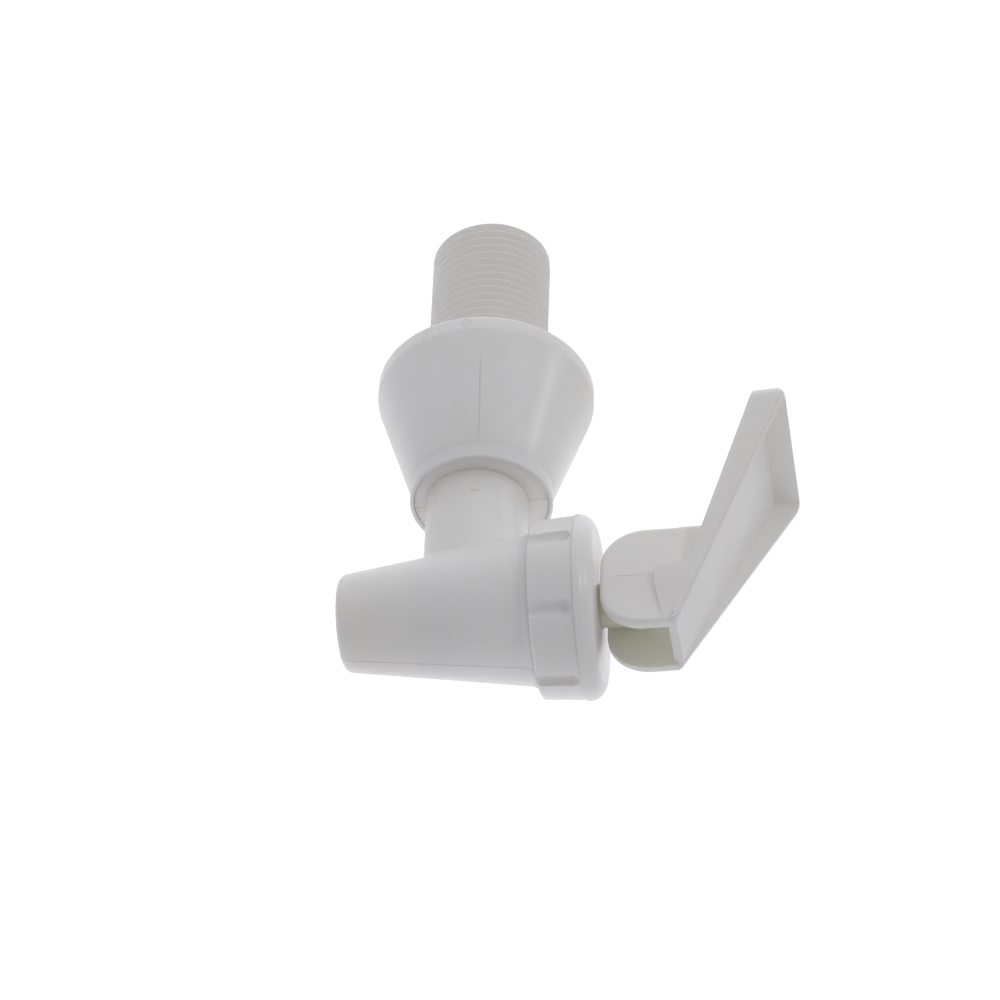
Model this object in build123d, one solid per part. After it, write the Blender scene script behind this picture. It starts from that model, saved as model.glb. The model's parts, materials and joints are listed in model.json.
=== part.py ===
from build123d import *
import math
import os

# Cooler faucet with a self-closing lever. Millimetres.
# The origin is on the shank axis, in the plane where the collar meets the tank wall.
# +Y runs along the shank into the wall, +Z is up, and the lever turns about an X axis.

os.makedirs("parts", exist_ok=True)

# Threaded shank, 3/4 inch by 16 threads per inch.
INCH = 25.4
SHANK_RADIUS = 0.375 * INCH
SHANK_PITCH = INCH / 16
SHANK_THREAD_DEPTH = 0.6134 * SHANK_PITCH
SHANK_END_Y = 30.0
SHANK_THREAD_START_Y = -7.0
SHANK_END_CHAMFER = 1.1
PLAIN_SHANK_RADIUS = 8.6
WELD = 0.5
INLET_RADIUS = 5.5
INLET_START_Y = -20.0
PASSAGE_RADIUS = 4.8

# Collar, a hollow cone between the body and the wall.
COLLAR_LENGTH = 24.7
COLLAR_BASE_RADIUS = 17.2
COLLAR_BAND = 2.7
COLLAR_LIP_RADIUS = 11.2
COLLAR_LIP_LENGTH = 2.8
COLLAR_LIP_BORE = 10.6
COLLAR_WALL = 1.75
COLLAR_HOLE_RADIUS = 9.8
COLLAR_WEB_Y = -21.6
COLLAR_WEB = 1.9
COLLAR_LIP_FILLET = 0.28
COLLAR_BASE_FILLET = 0.5
COLLAR_SHOULDER_FILLET = 1.2

# Body: the neck and the tapered barrel whose lower end is the spout.
AXIS_Y = -47.7
NECK_RADIUS = 8.0
NECK_DROP = 0.6
NECK_FLANGE_RADIUS = 10.58
NECK_FLANGE_Y = -24.35
NECK_FILLET = 1.6
SPOUT_END_Z = -20.9
SPOUT_END_RADIUS = 7.45
SPOUT_EDGE = 1.7
BARREL_TOP_Z = 9.45
BARREL_TOP_RADIUS = 11.775
LAND_RADIUS = 12.1
LAND_HEIGHT = 0.45
LAND_FLARE = 0.9
BOSS_RADIUS = 11.2
BOSS_PITCH = 2.0
BOSS_THREAD_DEPTH = 0.7
BOSS_TOP_Z = 16.2
BOSS_CHAMFER = 0.7
CHAMBER_RADIUS = 7.6
CHAMBER_FLOOR_Z = -6.8
SEAT_Z = -6.0
SEAT_HOLE_RADIUS = 3.8
SEAT_LIP_RADIUS = 4.6
SEAT_WEB = 2.2
SEAT_COUNTERSINK = 1.2
SPOUT_BORE_RADIUS = 5.5

# Bonnet, the screwed cap with finger flutes.
BONNET_RIM_Z = 9.5
BONNET_TOP_Z = 19.2
BONNET_RIM_RADIUS = 13.7
BONNET_SEAM_RADIUS = 14.15
BONNET_CROWN_RADIUS = 14.35
BONNET_SEAM_Z = 16.4
BONNET_SEAM_WIDTH = 0.12
BONNET_SEAM_DEPTH = 0.1
BONNET_RIM_CHAMFER = 0.3
BONNET_CROWN_FILLET = 2.6
BONNET_BORE = 11.35
BONNET_ROOF_Z = 17.4
FLUTES = 7
FLUTE_RADIUS = 1.4
FLUTE_FLOOR_RADIUS = 13.0
FLUTE_TOP_Z = 16.2
FLUTE_START_DEG = 221.5

# Stem, spring, washer and seat cup inside the bonnet.
STEM_RADIUS = 3.4
STEM_CLEARANCE = 0.1
STEM_HEAD_RISE = 3.0
STEM_HEAD_FILLET = 1.6
STEM_SHOULDER_RADIUS = 4.9
STEM_SHOULDER_TOP_Z = -1.0
STEM_SHOULDER_HEIGHT = 1.4
STEM_PLUG_RADIUS = 3.4
CUP_FLOOR = 1.7
CUP_RADIUS = 6.4
CUP_WALL = 0.9
CUP_EDGE = 0.8
CUP_FLANGE_RADIUS = 10.6
WASHER_RADIUS = 5.3
WASHER_THICKNESS = 0.5
SPRING_MEAN_RADIUS = 4.1
SPRING_WIRE_RADIUS = 0.3
SPRING_TURNS = 8

# Lever: two cheeks on moulded trunnions, and a flared tray as the finger pad.
# Lever places are measured from the barrel's axis.
PIVOT_Z = 24.9
TRUNNION_RADIUS = 1.7
TRUNNION_CLEARANCE = 0.07
TRUNNION_LENGTH = 2.4
TRUNNION_CHAMFER = 0.4
CHEEK_OUTER = 6.05
CHEEK_THICKNESS = 1.6
CHEEK_BOTTOM_Z = 19.7
CHEEK_FRONT_Y = -9.1
CHEEK_BACK_Y = 10.0
CHEEK_CORNER = 6.8
CHEEK_EDGE = 0.7
CHEEK_ROOT_FILLET = 2.6
TRAY_FRONT_Y = -8.6
TRAY_FRONT_Z = 31.4
TRAY_END_Y = 31.3
TRAY_RIM_DEG = 24.4
TRAY_FLOOR_DEG = 19.7
TRAY_FLOOR = 1.25
TRAY_WALL = 1.5
TRAY_FRONT_HALF_WIDTH = 6.17
TRAY_FLARE = 0.195
TRAY_END_CORNER = 2.2
TRAY_END_RIM_FILLET = 1.2
TRAY_POCKET_CORNER = 1.2
GUSSET_BACK_Y = 1.0
GUSSET_BOTTOM_Z = 28.1
GUSSET_FRONT_Z = 29.3
GUSSET_BEND_Y = -1.7


def ring_solid(points, axis=Axis.Z):
    """Turns a closed outline of (radius, height) points about Z."""
    outline = Plane.XZ * make_face(Polyline(*points, close=True))
    return revolve(outline, axis=axis)


def tube_z(radius, low, high):
    """A plain cylinder on Z between two heights."""
    return Pos(0, 0, low) * Cylinder(radius, high - low, align=(Align.CENTER, Align.CENTER, Align.MIN))


def helical_ridge(radius, pitch, depth, low, high):
    """A V ridge wound on Z, its crest at the given radius, for an external thread."""
    root = radius - depth
    sunk = 0.05
    path = Helix(pitch=pitch, height=high - low, radius=root - sunk, center=(0, 0, low))
    start = Plane(origin=path @ 0, x_dir=(1, 0, 0), z_dir=path % 0)
    half_root = 0.44 * pitch
    half_crest = 0.06 * pitch
    height = depth + sunk
    section = Polyline(
        (0, -half_root),
        (height, -half_crest),
        (height, half_crest),
        (0, half_root),
        close=True)
    return sweep(start * make_face(section), path=path, is_frenet=True)


def threaded_bar(radius, pitch, depth, low, high, chamfer_length):
    """A core with a helical thread, square at the low end and chamfered at the high end."""
    ridge = helical_ridge(radius, pitch, depth, low - pitch, high + pitch)
    over = radius + 0.5
    tip = radius - depth - 0.3
    run = chamfer_length * (over - tip) / (radius - tip)
    envelope = ring_solid([(0, low), (over, low), (over, high - run), (tip, high), (0, high)])
    core = tube_z(radius - depth, low, high) & envelope
    return core + (ridge & envelope)


def along_shank(solid):
    """Lays a solid that was built on Z along the shank, its Z becoming Y."""
    return Rot(-90, 0, 0) * solid


def on_barrel(solid):
    """Moves a solid that was built on Z onto the barrel's axis."""
    return Pos(0, AXIS_Y, 0) * solid


def barrel_radius(z):
    """The barrel's outer radius at a height."""
    share = (z - SPOUT_END_Z) / (BARREL_TOP_Z - SPOUT_END_Z)
    return SPOUT_END_RADIUS + share * (BARREL_TOP_RADIUS - SPOUT_END_RADIUS)


def make_body():
    """Spout barrel, neck and threaded shank, one moulding with the valve seat inside."""
    land_low = BARREL_TOP_Z - LAND_HEIGHT
    flare_low = land_low - LAND_FLARE
    barrel = ring_solid([
        (0, SPOUT_END_Z),
        (SPOUT_END_RADIUS, SPOUT_END_Z),
        (barrel_radius(flare_low), flare_low),
        (0, flare_low),
    ])
    barrel = fillet(barrel.edges().sort_by(Axis.Z)[0], SPOUT_EDGE)
    neck = Pos(0, 0, -NECK_DROP) * along_shank(tube_z(NECK_RADIUS, AXIS_Y, NECK_FLANGE_Y + WELD))
    solid = on_barrel(barrel) + neck
    joints = [e for e in solid.edges() if AXIS_Y + 2 < e.center().Y < NECK_FLANGE_Y - 2 and e.length > 20]
    solid = fillet(joints, NECK_FILLET)
    solid += on_barrel(ring_solid([
        (0, flare_low),
        (barrel_radius(flare_low), flare_low),
        (LAND_RADIUS, land_low),
        (LAND_RADIUS, BARREL_TOP_Z),
        (0, BARREL_TOP_Z),
    ]))
    solid += on_barrel(threaded_bar(
        BOSS_RADIUS, BOSS_PITCH, BOSS_THREAD_DEPTH, BARREL_TOP_Z - WELD, BOSS_TOP_Z, BOSS_CHAMFER))
    solid += along_shank(tube_z(NECK_FLANGE_RADIUS, NECK_FLANGE_Y, COLLAR_WEB_Y))
    solid += along_shank(tube_z(PLAIN_SHANK_RADIUS, COLLAR_WEB_Y - WELD, SHANK_THREAD_START_Y + WELD))
    solid += along_shank(threaded_bar(
        SHANK_RADIUS, SHANK_PITCH, SHANK_THREAD_DEPTH, SHANK_THREAD_START_Y, SHANK_END_Y, SHANK_END_CHAMFER))
    solid -= along_shank(tube_z(INLET_RADIUS, INLET_START_Y, SHANK_END_Y + 1))
    solid -= along_shank(tube_z(PASSAGE_RADIUS, AXIS_Y, INLET_START_Y + 1))
    bore = ring_solid([
        (0, SPOUT_END_Z - 1),
        (SPOUT_BORE_RADIUS, SPOUT_END_Z - 1),
        (SPOUT_BORE_RADIUS, CHAMBER_FLOOR_Z - SEAT_WEB - SEAT_COUNTERSINK),
        (SEAT_HOLE_RADIUS, CHAMBER_FLOOR_Z - SEAT_WEB),
        (SEAT_HOLE_RADIUS, SEAT_Z),
        (SEAT_LIP_RADIUS, SEAT_Z),
        (SEAT_LIP_RADIUS, CHAMBER_FLOOR_Z),
        (CHAMBER_RADIUS, CHAMBER_FLOOR_Z),
        (CHAMBER_RADIUS, BOSS_TOP_Z + 1),
        (0, BOSS_TOP_Z + 1),
    ])
    return solid - on_barrel(bore)


def make_collar():
    """Trim cone: a band at the wall, a straight cone and a short lip round the neck flange."""
    lip_top = -COLLAR_LENGTH + COLLAR_LIP_LENGTH
    slope = (COLLAR_BASE_RADIUS - COLLAR_LIP_RADIUS) / (-COLLAR_BAND - lip_top)
    inner_base = COLLAR_BASE_RADIUS - COLLAR_WALL
    hollow_top = COLLAR_WEB_Y + COLLAR_WEB
    inner_top = COLLAR_LIP_RADIUS + slope * (hollow_top - lip_top) - COLLAR_WALL
    solid = ring_solid([
        (inner_base, 0),
        (COLLAR_BASE_RADIUS, 0),
        (COLLAR_BASE_RADIUS, -COLLAR_BAND),
        (COLLAR_LIP_RADIUS, lip_top),
        (COLLAR_LIP_RADIUS, -COLLAR_LENGTH),
        (COLLAR_LIP_BORE, -COLLAR_LENGTH),
        (COLLAR_LIP_BORE, COLLAR_WEB_Y),
        (COLLAR_HOLE_RADIUS, COLLAR_WEB_Y),
        (COLLAR_HOLE_RADIUS, hollow_top),
        (inner_top, hollow_top),
        (inner_base, -COLLAR_BAND),
    ])
    lip_edges = [e for e in solid.edges() if abs(e.center().Z + COLLAR_LENGTH) < 0.01]
    solid = fillet(lip_edges, COLLAR_LIP_FILLET)
    outer_length = 2 * math.pi * (COLLAR_BASE_RADIUS - WELD)
    base_edge = [e for e in solid.edges() if abs(e.center().Z) < 0.01 and e.length > outer_length]
    solid = fillet(base_edge, COLLAR_BASE_FILLET)
    shoulder = [
        e for e in solid.edges()
        if abs(e.center().Z + COLLAR_BAND) < 0.01 and e.length > outer_length
    ]
    return along_shank(fillet(shoulder, COLLAR_SHOULDER_FILLET))


def make_bonnet():
    """Screwed cap with a proud crown, a plain bore for the stem and flutes open at the rim."""
    solid = ring_solid([
        (BONNET_BORE, BONNET_RIM_Z),
        (BONNET_RIM_RADIUS - BONNET_RIM_CHAMFER, BONNET_RIM_Z),
        (BONNET_RIM_RADIUS, BONNET_RIM_Z + BONNET_RIM_CHAMFER),
        (BONNET_SEAM_RADIUS, BONNET_SEAM_Z - BONNET_SEAM_WIDTH),
        (BONNET_SEAM_RADIUS - BONNET_SEAM_DEPTH, BONNET_SEAM_Z),
        (BONNET_CROWN_RADIUS, BONNET_SEAM_Z),
        (BONNET_CROWN_RADIUS, BONNET_TOP_Z),
        (STEM_RADIUS + STEM_CLEARANCE, BONNET_TOP_Z),
        (STEM_RADIUS + STEM_CLEARANCE, BONNET_ROOF_Z),
        (BONNET_BORE, BONNET_ROOF_Z),
    ])
    crown = [e for e in solid.edges() if abs(e.center().Z - BONNET_TOP_Z) < 0.01 and e.length > 50]
    solid = fillet(crown, BONNET_CROWN_FILLET)
    centre = FLUTE_FLOOR_RADIUS + FLUTE_RADIUS
    top = FLUTE_TOP_Z - FLUTE_RADIUS
    cutter = tube_z(FLUTE_RADIUS, BONNET_RIM_Z - 1, top) + Pos(0, 0, top) * Sphere(FLUTE_RADIUS)
    flute = Pos(centre, 0, 0) * cutter
    for number in range(FLUTES):
        solid -= Rot(0, 0, FLUTE_START_DEG + number * 360 / FLUTES) * flute
    return on_barrel(solid)


def make_seat_cup():
    """Silicone cup: its floor closes the seat and its flange is clamped under the bonnet."""
    inner = CUP_RADIUS - CUP_WALL
    floor_top = SEAT_Z + CUP_FLOOR
    return on_barrel(ring_solid([
        (0, SEAT_Z),
        (CUP_RADIUS - CUP_EDGE, SEAT_Z),
        (CUP_RADIUS, SEAT_Z + CUP_EDGE),
        (CUP_RADIUS, BOSS_TOP_Z),
        (CUP_FLANGE_RADIUS, BOSS_TOP_Z),
        (CUP_FLANGE_RADIUS, BONNET_ROOF_Z),
        (inner, BONNET_ROOF_Z),
        (inner, floor_top),
        (0, floor_top),
    ]))


def make_stem():
    """Plunger: a plug and shoulder in the cup, and a round rod cross-bored near its domed top."""
    shoulder_low = STEM_SHOULDER_TOP_Z - STEM_SHOULDER_HEIGHT
    rod = tube_z(STEM_RADIUS, shoulder_low, PIVOT_Z + STEM_HEAD_RISE)
    rod = fillet(rod.edges().sort_by(Axis.Z)[-1], STEM_HEAD_FILLET)
    solid = rod + tube_z(STEM_PLUG_RADIUS, SEAT_Z + CUP_FLOOR, shoulder_low)
    solid += tube_z(STEM_SHOULDER_RADIUS, shoulder_low, STEM_SHOULDER_TOP_Z)
    bore = Rot(0, 90, 0) * Cylinder(TRUNNION_RADIUS + TRUNNION_CLEARANCE, 2 * STEM_RADIUS + 1)
    return on_barrel(solid - Pos(0, 0, PIVOT_Z) * bore)


def make_spring_washer():
    """Thin steel ring between the spring and the bonnet's roof."""
    high = BONNET_ROOF_Z
    low = high - WASHER_THICKNESS
    hole = STEM_RADIUS + 0.25
    return on_barrel(tube_z(WASHER_RADIUS, low, high) - tube_z(hole, low - 1, high + 1))


def make_spring():
    """Compression spring from the stem's shoulder to the washer, its ends ground flat."""
    low = STEM_SHOULDER_TOP_Z
    high = BONNET_ROOF_Z - WASHER_THICKNESS
    pitch = (high - low) / SPRING_TURNS
    path = Helix(pitch=pitch, height=high - low, radius=SPRING_MEAN_RADIUS, center=(0, 0, low))
    section = Plane(origin=path @ 0, z_dir=path % 0) * Circle(SPRING_WIRE_RADIUS)
    wire = sweep(section, path=path, is_frenet=True)
    return on_barrel(wire & tube_z(SPRING_MEAN_RADIUS + 2, low, high))


def floor_line(y):
    """Height of the tray floor's underside."""
    front = TRAY_FRONT_Z - TRAY_FLOOR / math.cos(math.radians(TRAY_FLOOR_DEG))
    return front + (y - TRAY_FRONT_Y) * math.tan(math.radians(TRAY_FLOOR_DEG))


def rim_line(y):
    """Height of the tray's rim."""
    return TRAY_FRONT_Z + (y - TRAY_FRONT_Y) * math.tan(math.radians(TRAY_RIM_DEG))


def side_slab(outline, half_width):
    """Extrudes a closed (Y, Z) outline to both sides of the middle plane."""
    return extrude(Plane.YZ * make_face(outline), half_width, both=True)


def flared_prism(inset):
    """The tray's plan outline, raised square to the rim; inset narrows it on both sides."""
    angle = math.radians(TRAY_RIM_DEG)
    plan = Plane(
        origin=(0, TRAY_FRONT_Y, TRAY_FRONT_Z),
        x_dir=(0, math.cos(angle), math.sin(angle)),
        z_dir=(0, -math.sin(angle), math.cos(angle)),
    )
    start, end = -12.0, 60.0
    narrow = TRAY_FRONT_HALF_WIDTH + TRAY_FLARE * start - inset
    wide = TRAY_FRONT_HALF_WIDTH + TRAY_FLARE * end - inset
    outline = Polyline((start, -narrow), (end, -wide), (end, wide), (start, narrow), close=True)
    return extrude(plan * make_face(outline), 40, both=True)


def make_tray():
    """The finger pad: floor, two flared side walls that rise from nothing, and an end wall."""
    wedge = side_slab(Polyline(
        (TRAY_FRONT_Y, floor_line(TRAY_FRONT_Y)),
        (TRAY_END_Y, floor_line(TRAY_END_Y)),
        (TRAY_END_Y, rim_line(TRAY_END_Y)),
        (TRAY_FRONT_Y, rim_line(TRAY_FRONT_Y)),
        close=True), 30)
    outer = wedge & flared_prism(0)
    corners = [e for e in outer.edges() if abs(e.center().Y - TRAY_END_Y) < 0.01 and abs(e.center().X) > 8]
    outer = fillet(corners, TRAY_END_CORNER)
    rim_end = [
        e for e in outer.edges()
        if abs(e.center().Y - TRAY_END_Y) < 0.01 and e.center().Z > rim_line(TRAY_END_Y) - 0.5
    ]
    outer = fillet(rim_end, TRAY_END_RIM_FILLET)
    step = TRAY_FLOOR / math.cos(math.radians(TRAY_FLOOR_DEG))
    inner_end = TRAY_END_Y - TRAY_WALL
    pocket = side_slab(Polyline(
        (TRAY_FRONT_Y - 5, floor_line(TRAY_FRONT_Y - 5) + step),
        (inner_end, floor_line(inner_end) + step),
        (inner_end, rim_line(inner_end) + 10),
        (TRAY_FRONT_Y - 5, rim_line(inner_end) + 10),
        close=True), 30)
    pocket = pocket & flared_prism(TRAY_WALL)
    pocket_corners = [
        e for e in pocket.edges() if abs(e.center().Y - inner_end) < 0.01 and abs(e.center().X) > 8
    ]
    pocket = fillet(pocket_corners, TRAY_POCKET_CORNER)
    return outer - pocket


def cheek_root(root_z):
    """The web that rounds a cheek's back edge into the tray's underside."""
    tail_y = CHEEK_BACK_Y + 4.5
    low_y = CHEEK_BACK_Y - 1.5
    low_z = root_z - 5
    face = make_face(Polyline(
        (low_y, low_z),
        (CHEEK_BACK_Y, low_z),
        (CHEEK_BACK_Y, root_z),
        (tail_y, floor_line(tail_y)),
        (tail_y, floor_line(tail_y) + 0.7),
        (low_y, floor_line(low_y) + 0.7),
        close=True))
    corner = face.vertices().sort_by_distance((CHEEK_BACK_Y, root_z, 0))[0]
    return extrude(Plane.YZ * fillet(corner, CHEEK_ROOT_FILLET), CHEEK_OUTER - 0.3)


def make_cheeks():
    """Two cheeks with large lower corners, joined to the tray by a fillet behind."""
    top = TRAY_FRONT_Z + 12
    face = make_face(Polyline(
        (CHEEK_FRONT_Y, top),
        (CHEEK_FRONT_Y, CHEEK_BOTTOM_Z),
        (CHEEK_BACK_Y, CHEEK_BOTTOM_Z),
        (CHEEK_BACK_Y, top),
        close=True))
    low = [v for v in face.vertices() if v.Y < CHEEK_BOTTOM_Z + 1]
    cheek = extrude(Plane.YZ * fillet(low, CHEEK_CORNER), CHEEK_OUTER)
    rounded = [e for e in cheek.edges() if abs(e.center().X - CHEEK_OUTER) < 0.01 and e.center().Z < top - 1]
    cheek = fillet(rounded, CHEEK_EDGE)
    above = Polyline(
        (-20, floor_line(-20) + 0.7),
        (20, floor_line(20) + 0.7),
        (20, top + 20),
        (-20, top + 20),
        close=True)
    cheek = cheek - side_slab(above, 30) + cheek_root(floor_line(CHEEK_BACK_Y))
    cheek -= Pos(CHEEK_OUTER - CHEEK_THICKNESS - 25, 0, 25) * Box(50, 80, 80)
    return cheek + mirror(cheek, Plane.YZ)


def make_gussets():
    """Wedges that carry the tray's flared sides down over the cheeks."""
    block = side_slab(Polyline(
        (GUSSET_BACK_Y, GUSSET_BOTTOM_Z),
        (GUSSET_BEND_Y, GUSSET_BOTTOM_Z),
        (TRAY_FRONT_Y, GUSSET_FRONT_Z),
        (TRAY_FRONT_Y, floor_line(TRAY_FRONT_Y) + 0.5),
        (GUSSET_BACK_Y, floor_line(GUSSET_BACK_Y) + 0.5),
        close=True), 30)
    block = block & flared_prism(0)
    gap = 2 * (CHEEK_OUTER - CHEEK_THICKNESS)
    return block - Box(gap, 80, 80, align=(Align.CENTER, Align.CENTER, Align.MIN))


def make_handle():
    """Tray, cheeks, gussets and the two trunnions that snap into the stem."""
    solid = make_tray() + make_cheeks() + make_gussets()
    inner = CHEEK_OUTER - CHEEK_THICKNESS
    trunnion = Rot(0, 90, 0) * Cylinder(TRUNNION_RADIUS, TRUNNION_LENGTH + 0.3)
    trunnion = chamfer(trunnion.edges().sort_by(Axis.X)[0], TRUNNION_CHAMFER)
    trunnion = Pos(inner + 0.3 - (TRUNNION_LENGTH + 0.3) / 2, 0, PIVOT_Z) * trunnion
    solid += trunnion + mirror(trunnion, Plane.YZ)
    return on_barrel(solid)


PARTS = {
    "body": make_body,
    "collar": make_collar,
    "bonnet": make_bonnet,
    "seat_cup": make_seat_cup,
    "stem": make_stem,
    "spring_washer": make_spring_washer,
    "spring": make_spring,
    "handle": make_handle,
}

for node, maker in PARTS.items():
    export_step(maker(), f"parts/{node}.step")
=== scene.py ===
import json
import math

import bpy
from mathutils import Matrix, Vector


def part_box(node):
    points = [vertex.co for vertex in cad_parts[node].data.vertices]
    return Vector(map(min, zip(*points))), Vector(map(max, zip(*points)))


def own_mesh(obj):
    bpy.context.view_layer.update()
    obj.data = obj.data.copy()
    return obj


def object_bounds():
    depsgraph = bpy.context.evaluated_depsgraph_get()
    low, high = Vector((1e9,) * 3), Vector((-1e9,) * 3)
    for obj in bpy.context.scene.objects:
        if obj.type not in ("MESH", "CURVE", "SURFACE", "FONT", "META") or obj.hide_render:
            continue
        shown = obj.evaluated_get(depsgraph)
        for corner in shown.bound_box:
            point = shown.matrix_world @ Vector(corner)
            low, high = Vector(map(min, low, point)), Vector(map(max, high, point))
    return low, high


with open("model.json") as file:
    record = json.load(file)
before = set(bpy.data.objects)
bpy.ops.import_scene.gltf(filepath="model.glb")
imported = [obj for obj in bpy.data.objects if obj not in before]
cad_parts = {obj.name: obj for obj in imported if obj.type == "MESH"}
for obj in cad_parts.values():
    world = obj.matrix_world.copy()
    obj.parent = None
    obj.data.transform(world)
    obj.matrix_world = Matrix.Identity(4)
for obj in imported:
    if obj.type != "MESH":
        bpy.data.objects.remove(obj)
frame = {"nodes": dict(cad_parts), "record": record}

CAD_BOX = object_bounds()
scene = bpy.context.scene


# ---------------------------------------------------------------- camera
VIEW_AZIMUTH = math.radians(-136.66)   # direction from the faucet to the camera, from +X
VIEW_ELEVATION = math.radians(6.88)
VIEW_ROLL = math.radians(85.89)        # the picture's right is nearly the faucet's up
VIEW_DISTANCE = 0.7821
VIEW_LENS = 180.0
VIEW_TARGET = Vector((0.00015, -0.02376, 0.00287))


def view_axes():
    """The camera's right, up and backward directions."""
    back = Vector((
        math.cos(VIEW_ELEVATION) * math.cos(VIEW_AZIMUTH),
        math.cos(VIEW_ELEVATION) * math.sin(VIEW_AZIMUTH),
        math.sin(VIEW_ELEVATION),
    ))
    level = Vector((0, 0, 1)).cross(back).normalized()
    upright = back.cross(level)
    right = level * math.cos(VIEW_ROLL) + upright * math.sin(VIEW_ROLL)
    return right, back.cross(right), back


def add_camera():
    right, up, back = view_axes()
    data = bpy.data.cameras.new("camera")
    data.lens = VIEW_LENS
    data.sensor_width = 36.0
    data.clip_start = 0.01
    data.clip_end = 50.0
    camera = bpy.data.objects.new("camera", data)
    camera.matrix_world = Matrix((
        (right.x, up.x, back.x, VIEW_TARGET.x + back.x * VIEW_DISTANCE),
        (right.y, up.y, back.y, VIEW_TARGET.y + back.y * VIEW_DISTANCE),
        (right.z, up.z, back.z, VIEW_TARGET.z + back.z * VIEW_DISTANCE),
        (0, 0, 0, 1),
    ))
    scene.collection.objects.link(camera)
    scene.camera = camera


# ---------------------------------------------------------------- node helpers
def add(tree, kind, inputs=None, **settings):
    """Adds a node; inputs are constants or other nodes' outputs."""
    item = tree.nodes.new(kind)
    for key, value in settings.items():
        setattr(item, key, value)
    for key, value in (inputs or {}).items():
        if isinstance(value, bpy.types.NodeSocket):
            tree.links.new(value, item.inputs[key])
        else:
            item.inputs[key].default_value = value
    return item


def math_node(tree, operation, first, second=0.0, clamp=False):
    item = add(tree, "ShaderNodeMath", {0: first, 1: second}, operation=operation, use_clamp=clamp)
    return item.outputs[0]


def remap(tree, value, low, high, to_low=0.0, to_high=1.0):
    item = add(tree, "ShaderNodeMapRange", {
        "Value": value, "From Min": low, "From Max": high, "To Min": to_low, "To Max": to_high,
    }, interpolation_type="SMOOTHSTEP")
    return item.outputs["Result"]


def noise(tree, place, scale, detail=2.0, roughness=0.5):
    item = add(tree, "ShaderNodeTexNoise", {
        "Vector": place, "Scale": scale, "Detail": detail, "Roughness": roughness,
    })
    return item.outputs["Fac"]


def stretched(tree, place, scale, turn=(0.0, 0.0, 0.0)):
    item = add(tree, "ShaderNodeMapping", {"Vector": place, "Rotation": turn, "Scale": scale})
    return item.outputs["Vector"]


def blend_colour(tree, share, first, second, blend_type="MIX"):
    item = add(tree, "ShaderNodeMix", {"Factor": share}, data_type="RGBA", blend_type=blend_type)
    for index, value in ((6, first), (7, second)):
        if isinstance(value, bpy.types.NodeSocket):
            tree.links.new(value, item.inputs[index])
        else:
            item.inputs[index].default_value = (*value, 1.0)
    return item.outputs[2]


# ---------------------------------------------------------------- light
# The surround is white behind the faucet and falls away towards a dim side, near the camera.
# SURROUND pairs a place, from away from the dim side (0) to the dim side (1), with a radiance.
DIM_SIDE = Vector((-0.57, -0.81, 0.10)).normalized()
SURROUND = ((0.0, 1.10), (0.16, 1.10), (0.36, 0.80), (0.50, 0.73), (0.75, 0.60), (1.0, 0.29))
SURROUND_LIMIT = 2.0
BRIGHT_SIDE = Vector((0.74, -0.56, -0.36)).normalized()
BRIGHT_SIDE_LEVEL = 0.24
OVERHEAD_DIMMING = 0.65
UNDERSIDE_DIMMING = 0.32
SURROUND_TINT = (0.995, 0.985, 1.03, 1.0)
FLOOR_DROP = 0.20
FLOOR_HALF_SIZE = 40.0
FLOOR_GREY = 0.17
FLOOR_GLOW_CUT = 0.12
LAMP_DISTANCE = 1.2


def squared_above_zero(tree, value):
    return math_node(tree, "POWER", math_node(tree, "MAXIMUM", value, 0.0), 2.0)


def surround_level(tree, direction):
    """The surround's radiance in a direction, as a node output."""
    dot = add(tree, "ShaderNodeVectorMath", {0: direction, 1: DIM_SIDE}, operation="DOT_PRODUCT")
    share = math_node(tree, "MULTIPLY_ADD", dot.outputs["Value"], 0.5)
    share.node.inputs[2].default_value = 0.5
    ramp = add(tree, "ShaderNodeValToRGB", {"Fac": share})
    points = ramp.color_ramp.elements
    while len(points) < len(SURROUND):
        points.new(0.5)
    for point, (place, level) in zip(points, SURROUND):
        grey = level / SURROUND_LIMIT
        point.position = place
        point.color = (grey, grey, grey, 1.0)
    side = add(tree, "ShaderNodeVectorMath", {0: direction, 1: BRIGHT_SIDE}, operation="DOT_PRODUCT")
    side = squared_above_zero(tree, side.outputs["Value"])
    side = math_node(tree, "MULTIPLY", side, BRIGHT_SIDE_LEVEL)
    level = math_node(tree, "MULTIPLY", ramp.outputs["Color"], SURROUND_LIMIT)
    level = math_node(tree, "ADD", level, side)
    height = add(tree, "ShaderNodeSeparateXYZ", {"Vector": direction}).outputs["Z"]
    above = squared_above_zero(tree, height)
    below = squared_above_zero(tree, math_node(tree, "MULTIPLY", height, -1.0))
    above = math_node(tree, "MULTIPLY", above, OVERHEAD_DIMMING)
    below = math_node(tree, "MULTIPLY", below, UNDERSIDE_DIMMING)
    kept = math_node(tree, "SUBTRACT", 1.0, math_node(tree, "ADD", above, below))
    return math_node(tree, "MULTIPLY", level, kept)


def add_surround():
    world = bpy.data.worlds.new("studio")
    scene.world = world
    world.use_nodes = True
    tree = world.node_tree
    tree.nodes.clear()
    place = add(tree, "ShaderNodeTexCoord").outputs["Generated"]
    unit = add(tree, "ShaderNodeVectorMath", {0: place}, operation="NORMALIZE").outputs["Vector"]
    background = add(tree, "ShaderNodeBackground", {
        "Color": SURROUND_TINT, "Strength": surround_level(tree, unit)})
    add(tree, "ShaderNodeOutputWorld", {"Surface": background.outputs["Background"]})


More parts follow.
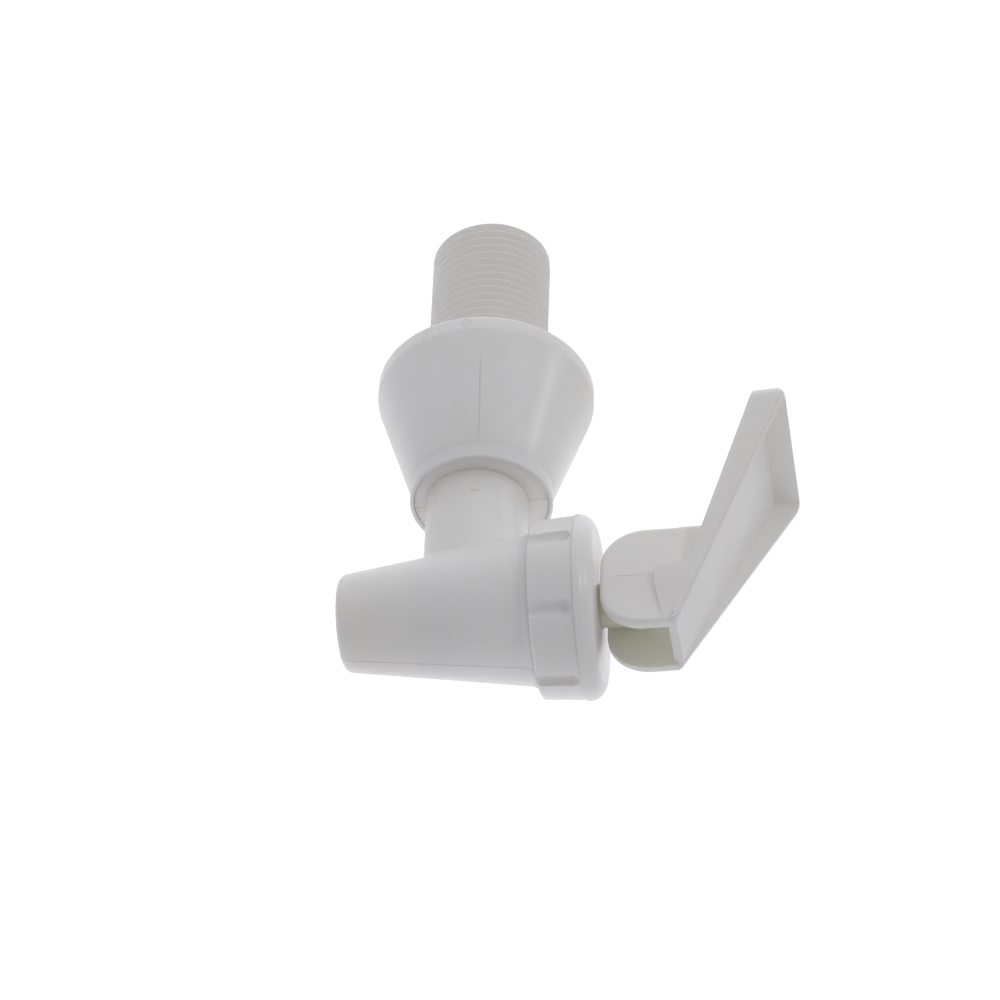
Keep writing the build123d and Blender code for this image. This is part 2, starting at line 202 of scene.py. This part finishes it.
def add_floor():
    """A plain pale floor well below the faucet, with painted light: it glows with the surround's
    radiance seen from the faucet, less a fixed cut.
    """
    size = FLOOR_HALF_SIZE
    z = CAD_BOX[0][2] - FLOOR_DROP
    corners = [(-size, -size, z), (size, -size, z), (size, size, z), (-size, size, z)]
    mesh = bpy.data.meshes.new("floor")
    mesh.from_pydata(corners, [], [(0, 1, 2, 3)])
    floor = bpy.data.objects.new("floor", mesh)
    scene.collection.objects.link(floor)
    material, tree, shader = new_material("pale_floor")
    place = add(tree, "ShaderNodeTexCoord").outputs["Object"]
    away = add(tree, "ShaderNodeVectorMath", {0: place, 1: VIEW_TARGET}, operation="SUBTRACT")
    unit = add(tree, "ShaderNodeVectorMath", {0: away.outputs["Vector"]}, operation="NORMALIZE")
    # Painted light: the floor's emission is brighter away from the dim side and dimmer towards it.
    glow = math_node(tree, "SUBTRACT", surround_level(tree, unit.outputs["Vector"]), FLOOR_GLOW_CUT)
    shader.inputs["Base Color"].default_value = (FLOOR_GREY, FLOOR_GREY, FLOOR_GREY, 1)
    shader.inputs["Roughness"].default_value = 0.9
    shader.inputs["Specular IOR Level"].default_value = 0.0
    shader.inputs["Emission Color"].default_value = SURROUND_TINT
    tree.links.new(glow, shader.inputs["Emission Strength"])
    mesh.materials.append(material)


def add_lamp(name, direction, size, power):
    """A square lamp aimed at the faucet from a direction."""
    data = bpy.data.lights.new(name, "AREA")
    data.size = size
    data.energy = power
    lamp = bpy.data.objects.new(name, data)
    spot = VIEW_TARGET + Vector(direction).normalized() * LAMP_DISTANCE
    lamp.location = spot
    lamp.rotation_euler = (VIEW_TARGET - spot).to_track_quat("-Z", "Y").to_euler()
    scene.collection.objects.link(lamp)


# ---------------------------------------------------------------- masks
def new_material(name):
    material = bpy.data.materials.new(name)
    material.use_nodes = True
    tree = material.node_tree
    return material, tree, tree.nodes["Principled BSDF"]


def split(tree, place):
    return add(tree, "ShaderNodeSeparateXYZ", {"Vector": place}).outputs


def line_mask(tree, value, centre, half_width):
    """One on a thin line where the value crosses the centre, zero away from it."""
    offset = math_node(tree, "ABSOLUTE", math_node(tree, "SUBTRACT", value, centre))
    return remap(tree, offset, 0.0, half_width, 1.0, 0.0)


def spot_mask(tree, place, centre, radius, softness):
    """One inside a round spot, zero outside it."""
    offset = add(tree, "ShaderNodeVectorMath", {0: place, 1: Vector(centre)}, operation="DISTANCE")
    return remap(tree, offset.outputs["Value"], radius - softness, radius + softness, 1.0, 0.0)


def ring_mask(tree, place, centre, outer_radius, inner_radius):
    """One on a thin circle, zero off it."""
    softness = 0.00007
    outer = spot_mask(tree, place, centre, outer_radius, softness)
    inner = spot_mask(tree, place, centre, inner_radius, softness)
    return math_node(tree, "SUBTRACT", outer, inner)


def band_mask(tree, value, low, high, softness):
    """One between two values, zero outside them."""
    rise = remap(tree, value, low - softness, low + softness)
    fall = remap(tree, value, high - softness, high + softness, 1.0, 0.0)
    return math_node(tree, "MULTIPLY", rise, fall)


def total(tree, masks):
    result = masks[0]
    for mask in masks[1:]:
        result = math_node(tree, "ADD", result, mask)
    return result


def scaled(tree, value, amount):
    return math_node(tree, "MULTIPLY", value, amount)


def shelter_mask(tree, reach, open_level, samples=6):
    """One in narrow gaps and corners, zero on open faces."""
    hollow = add(tree, "ShaderNodeAmbientOcclusion", {"Distance": reach}, samples=samples)
    return remap(tree, hollow.outputs["AO"], open_level, 0.95, 1.0, 0.0)


def hairlines(tree, place, turn):
    """Sparse fine scratches, as a mask."""
    streak = noise(tree, stretched(tree, place, (1.0, 0.02, 0.35), turn), 700, 1.0, 0.4)
    line = line_mask(tree, streak, 0.5, 0.006)
    patch = remap(tree, noise(tree, place, 90, 2), 0.53, 0.61)
    return math_node(tree, "MULTIPLY", line, patch)


def link_bump(tree, shader, height, edge=None, edge_samples=6):
    """Drives the shader's normal by a height in metres, over edges rounded by a radius if given."""
    inputs = {"Strength": 1.0, "Distance": 1.0, "Height": height}
    if edge:
        soft_edge = add(tree, "ShaderNodeBevel", {"Radius": edge}, samples=edge_samples)
        inputs["Normal"] = soft_edge.outputs["Normal"]
    bump = add(tree, "ShaderNodeBump", inputs)
    tree.links.new(bump.outputs["Normal"], shader.inputs["Normal"])


# ---------------------------------------------------------------- moulding marks
# Each function below returns four masks: raised, sunk, dark dirt and a painted yellow cast of bounced
# light, or None.
JOINTS = {joint["name"]: joint for joint in frame["record"]["behaviour"]["joints"]}
BARREL_Y = JOINTS["lever_swivel"]["pos_m"][1]
COLLAR_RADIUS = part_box("collar")[1][0]
BONNET_TOP_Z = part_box("bonnet")[1][2]
CHEEK_OUTER = 0.00605
CHEEK_INNER = 0.00445


def collar_marks(tree, place):
    """Mould seams on both sides of the collar and round ejector witnesses on its band."""
    seam_turn = math.radians(-5.4)
    first_ring_turn = 2.7
    ring_y = -0.0014
    axes = split(tree, place)
    turned = split(tree, stretched(tree, place, (1.0, 1.0, 1.0), (0.0, seam_turn, 0.0)))
    seam = line_mask(tree, turned["Z"], 0.0, 0.00009)
    seam = math_node(tree, "MULTIPLY", seam, band_mask(tree, axes["Y"], -0.0205, -0.0075, 0.0025))
    rings = []
    for quarter in range(4):
        angle = math.radians(first_ring_turn + 90 * quarter)
        centre = (COLLAR_RADIUS * math.cos(angle), ring_y, COLLAR_RADIUS * math.sin(angle))
        rings.append(ring_mask(tree, place, centre, 0.00085, 0.00062))
    return seam, total(tree, rings), None, None


def body_marks(tree, place):
    """The parting line in the middle plane, a gate scar under the neck and a raised dash on it."""
    dash_y = -0.0289
    axes = split(tree, place)
    seam = line_mask(tree, axes["X"], 0.0, 0.00008)
    dash = line_mask(tree, axes["Y"], dash_y, 0.00028)
    dash = math_node(tree, "MULTIPLY", dash, band_mask(tree, axes["Z"], -0.0006, 0.0008, 0.0001))
    dash = math_node(tree, "MULTIPLY", dash, remap(tree, axes["X"], -0.0072, -0.0068, 1.0, 0.0))
    scar = spot_mask(tree, place, (0.0, -0.0300, -0.0085), 0.0011, 0.00010)
    return total(tree, (seam, dash)), scar, None, None


def bonnet_marks(tree, place):
    """A gate scar on the crown and a sink spot opposite it."""
    reach = 0.0085
    scar = spot_mask(tree, place, (reach, BARREL_Y, BONNET_TOP_Z), 0.0010, 0.00010)
    sink = spot_mask(tree, place, (-reach, BARREL_Y, BONNET_TOP_Z), 0.0012, 0.0006)
    return scar, sink, None, None


def handle_marks(tree, place):
    """Witness lines on the cheeks, ejector circles under the tray, specks and a painted yellow cast of
    bounced light in the gap between the cheeks.
    """
    witness_y = BARREL_Y + 0.0005
    axes = split(tree, place)
    out_from_middle = math_node(tree, "ABSOLUTE", axes["X"])
    side = remap(tree, out_from_middle, CHEEK_OUTER - 0.00018, CHEEK_OUTER - 0.00004)
    line = line_mask(tree, axes["Y"], witness_y, 0.00007)
    line = math_node(tree, "MULTIPLY", line, band_mask(tree, axes["Z"], 0.0220, 0.0262, 0.0002))
    line = math_node(tree, "MULTIPLY", line, side)
    rings = []
    for ring_x in (0.0060, -0.0060):
        rings.append(ring_mask(tree, place, (ring_x, -0.0260, 0.0406), 0.00135, 0.00120))
    specks = []
    for centre, radius in (
        ((-0.0061, -0.0560, 0.0311), 0.0007),
        ((-0.0098, -0.0258, 0.0405), 0.0006),
        ((-0.0085, -0.0300, 0.0392), 0.0005),
    ):
        specks.append(spot_mask(tree, place, centre, radius, 0.0003))
    speckle = remap(tree, noise(tree, place, 2600, 3), 0.50, 0.58)
    dirt = math_node(tree, "MULTIPLY", total(tree, specks), speckle)
    # Painted light: a yellowish cast of light bounced between the cheeks, on the faces inside the gap
    # below the tray.
    painted_gap_cast = remap(tree, out_from_middle, CHEEK_INNER + 0.00005, CHEEK_INNER + 0.00075, 1.0, 0.0)
    painted_gap_cast = math_node(tree, "MULTIPLY", painted_gap_cast, remap(tree, axes["Z"], 0.0285, 0.0305, 1.0, 0.0))
    return line, total(tree, rings), scaled(tree, dirt, 0.34), painted_gap_cast


# ---------------------------------------------------------------- materials
WHITE = (0.925, 0.922, 0.902)
HANDLE_WHITE = (0.918, 0.915, 0.897)
AGEING = (0.965, 0.96, 0.94)
# Tint of the painted shade in creases, corners and gaps between parts.
CREASE_SHADE_TINT = (0.66, 0.61, 0.40)
DUST = (0.42, 0.40, 0.37)
SCRATCHED = (0.60, 0.59, 0.57)
SUNK_SHADE = (0.46, 0.44, 0.40)
RAISED_SHADE = (0.50, 0.48, 0.45)
# Tint of the painted yellow cast of light bounced between the lever's cheeks.
GAP_LIGHT_CAST = (0.92, 0.915, 0.83)
DARK_DIRT = (0.13, 0.11, 0.11)


def moulded_plastic(name, base, marks, gloss, grain, seed, edge=0.00018, coat=0.08):
    """White moulded polypropylene: slow colour drift, flow marks, grain and hairlines, with painted
    shade in creases and corners.
    """
    material, tree, shader = new_material(name)
    place = add(tree, "ShaderNodeTexCoord").outputs["Object"]
    moved = add(tree, "ShaderNodeVectorMath", {0: place, 1: (seed, 0.5 * seed, 0.3)}).outputs["Vector"]
    drift = noise(tree, moved, 55, 3)
    flow = noise(tree, stretched(tree, moved, (1.0, 0.25, 1.0)), 210, 4, 0.6)
    fine = noise(tree, moved, 2600, 2)
    peel = noise(tree, moved, 520, 2)
    hair = hairlines(tree, moved, (0.4, 0.9, 0.3 + seed))
    dust = remap(tree, noise(tree, moved, 1150, 2), 0.735, 0.77)
    raised, sunk, dirt, stain_and_light_cast = marks(tree, place)
    # Painted shade: an occlusion mask, broken up by the flow marks, darkens and yellows creases,
    # corners and gaps between parts; the same mask also roughens them.
    shelter = shelter_mask(tree, 0.0016, 0.35)
    painted_crease_shade = math_node(tree, "MULTIPLY", shelter, remap(tree, flow, 0.3, 0.7, 0.35, 1.0))

    deep = tuple(level * share for level, share in zip(base, AGEING))
    tone = blend_colour(tree, remap(tree, drift, 0.32, 0.68), base, deep)
    tone = blend_colour(tree, remap(tree, flow, 0.38, 0.72, 0.0, 0.35), tone, deep)
    layers = ((painted_crease_shade, 0.05, CREASE_SHADE_TINT), (dust, 0.14, DUST), (hair, 0.22, SCRATCHED),
              (sunk, 0.20, SUNK_SHADE), (raised, 0.06, RAISED_SHADE))
    for mask, amount, colour in layers:
        tone = blend_colour(tree, scaled(tree, mask, amount), tone, colour)
    # The fourth mask paints a yellow cast of bounced light; the third is real dark dirt.
    for mask, colour in ((stain_and_light_cast, GAP_LIGHT_CAST), (dirt, DARK_DIRT)):
        if mask is not None:
            tone = blend_colour(tree, mask, tone, colour)
    tree.links.new(tone, shader.inputs["Base Color"])

    rough = remap(tree, drift, 0.3, 0.7, gloss - 0.05, gloss + 0.07)
    rough = math_node(tree, "ADD", rough, scaled(tree, peel, 0.07))
    rough = math_node(tree, "ADD", rough, scaled(tree, hair, 0.18))
    rough = math_node(tree, "ADD", rough, scaled(tree, painted_crease_shade, 0.20), True)
    tree.links.new(rough, shader.inputs["Roughness"])

    height = scaled(tree, fine, 0.000006 * grain)
    for mask, rise in ((peel, 0.000016 * grain), (flow, 0.00002), (hair, -0.000008),
                       (raised, 0.00011), (sunk, -0.00006)):
        height = math_node(tree, "ADD", height, scaled(tree, mask, rise))
    link_bump(tree, shader, height, edge)

    shader.inputs["IOR"].default_value = 1.49
    shader.inputs["Subsurface Weight"].default_value = 0.40
    shader.inputs["Subsurface Radius"].default_value = (1.0, 0.97, 0.80)
    shader.inputs["Subsurface Scale"].default_value = 0.0028
    shader.inputs["Coat Weight"].default_value = coat
    shader.inputs["Coat Roughness"].default_value = 0.07
    return material


def acetal(name):
    """The stem: natural acetal, turned smooth and rubbed where it slides, with painted shade in its
    gaps and corners.
    """
    material, tree, shader = new_material(name)
    place = add(tree, "ShaderNodeTexCoord").outputs["Object"]
    cloud = noise(tree, place, 130, 3)
    turned = noise(tree, stretched(tree, place, (0.05, 0.05, 1.0)), 2400, 2)
    rub = remap(tree, noise(tree, stretched(tree, place, (1.0, 1.0, 0.08)), 900, 2), 0.5, 0.68)
    # Painted shade: the stem is darkened and yellowed in its narrow gaps and corners.
    shelter = shelter_mask(tree, 0.0015, 0.3)
    tone = blend_colour(tree, cloud, (0.87, 0.85, 0.70), (0.82, 0.79, 0.63))
    tone = blend_colour(tree, scaled(tree, rub, 0.25), tone, (0.58, 0.55, 0.47))
    tone = blend_colour(tree, scaled(tree, shelter, 0.25), tone, (0.58, 0.53, 0.32))
    tree.links.new(tone, shader.inputs["Base Color"])
    rough = remap(tree, cloud, 0.3, 0.7, 0.34, 0.46)
    rough = math_node(tree, "ADD", rough, scaled(tree, rub, 0.12))
    tree.links.new(rough, shader.inputs["Roughness"])
    height = scaled(tree, turned, 0.000012)
    height = math_node(tree, "ADD", height, scaled(tree, rub, -0.000008))
    link_bump(tree, shader, height, 0.00015, 4)
    shader.inputs["Subsurface Weight"].default_value = 0.2
    shader.inputs["Subsurface Radius"].default_value = (1.0, 0.9, 0.6)
    shader.inputs["Subsurface Scale"].default_value = 0.0012
    return material


def silicone(name):
    """The seat cup: translucent silicone with a dusty bloom."""
    material, tree, shader = new_material(name)
    place = add(tree, "ShaderNodeTexCoord").outputs["Object"]
    bloom = noise(tree, place, 320, 4, 0.6)
    fine = noise(tree, place, 3000, 2)
    tone = blend_colour(tree, remap(tree, bloom, 0.35, 0.65), (0.80, 0.80, 0.77), (0.70, 0.71, 0.69))
    tree.links.new(tone, shader.inputs["Base Color"])
    tree.links.new(remap(tree, bloom, 0.3, 0.7, 0.42, 0.66), shader.inputs["Roughness"])
    height = math_node(tree, "ADD", scaled(tree, bloom, 0.00002), scaled(tree, fine, 0.000006))
    link_bump(tree, shader, height)
    shader.inputs["IOR"].default_value = 1.41
    shader.inputs["Subsurface Weight"].default_value = 0.35
    shader.inputs["Subsurface Scale"].default_value = 0.002
    shader.inputs["Sheen Weight"].default_value = 0.15
    return material


def steel(name, base, stretch, rust):
    """Stainless steel: drawn or stamped grain, light water stains and a few brown specks."""
    material, tree, shader = new_material(name)
    place = add(tree, "ShaderNodeTexCoord").outputs["Object"]
    drawn = noise(tree, stretched(tree, place, stretch), 3200, 3, 0.6)
    stain_and_light_cast = noise(tree, place, 420, 4, 0.65)
    speck = remap(tree, noise(tree, place, 1900, 3), 0.66, 0.72)
    rusty = scaled(tree, speck, rust)
    dark = tuple(0.72 * level for level in base)
    tone = blend_colour(tree, remap(tree, drawn, 0.3, 0.7, 0.0, 0.6), base, dark)
    tone = blend_colour(tree, remap(tree, stain_and_light_cast, 0.52, 0.70, 0.0, 0.5), tone, (0.50, 0.46, 0.40))
    tone = blend_colour(tree, rusty, tone, (0.24, 0.11, 0.05))
    tree.links.new(tone, shader.inputs["Base Color"])
    tree.links.new(math_node(tree, "SUBTRACT", 1.0, rusty), shader.inputs["Metallic"])
    rough = remap(tree, drawn, 0.3, 0.7, 0.20, 0.36)
    rough = math_node(tree, "ADD", rough, remap(tree, stain_and_light_cast, 0.5, 0.7, 0.0, 0.18))
    tree.links.new(rough, shader.inputs["Roughness"])
    height = math_node(tree, "ADD", scaled(tree, drawn, 0.000006), scaled(tree, speck, 0.000008))
    link_bump(tree, shader, height)
    return material


def dress(node, material):
    slots = frame["nodes"][node].data.materials
    slots.clear()
    slots.append(material)


# ---------------------------------------------------------------- motion
def shorten_with_joints():
    """Gives each deforming node of every joint its own copy of its mesh."""
    for joint in JOINTS.values():
        for entry in joint.get("deforming_nodes", []):
            piece = frame["nodes"][entry["node"]]
            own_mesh(piece)


# ---------------------------------------------------------------- scene
scene.view_settings.view_transform = "Standard"
add_camera()
add_surround()
add_floor()
add_lamp("lamp_high", (-0.22, 0.22, 0.95), 0.030, 0.8)
add_lamp("lamp_side", (-0.70, -0.06, 0.66), 0.16, 1.25)

dress("body", moulded_plastic("body_plastic", WHITE, body_marks, 0.34, 1.0, 0.11, edge=0.00032))
dress("collar", moulded_plastic("collar_plastic", WHITE, collar_marks, 0.33, 0.9, 0.37))
dress("bonnet", moulded_plastic("bonnet_plastic", WHITE, bonnet_marks, 0.30, 0.8, 0.53, coat=0.22))
dress("handle", moulded_plastic("handle_plastic", HANDLE_WHITE, handle_marks, 0.32, 1.2, 0.71))
dress("stem", acetal("stem_acetal"))
dress("seat_cup", silicone("cup_silicone"))
dress("spring", steel("spring_steel", (0.60, 0.60, 0.61), (1.0, 1.0, 0.1), 0.5))
dress("spring_washer", steel("washer_steel", (0.64, 0.64, 0.65), (0.2, 1.0, 1.0), 0.4))

shorten_with_joints()
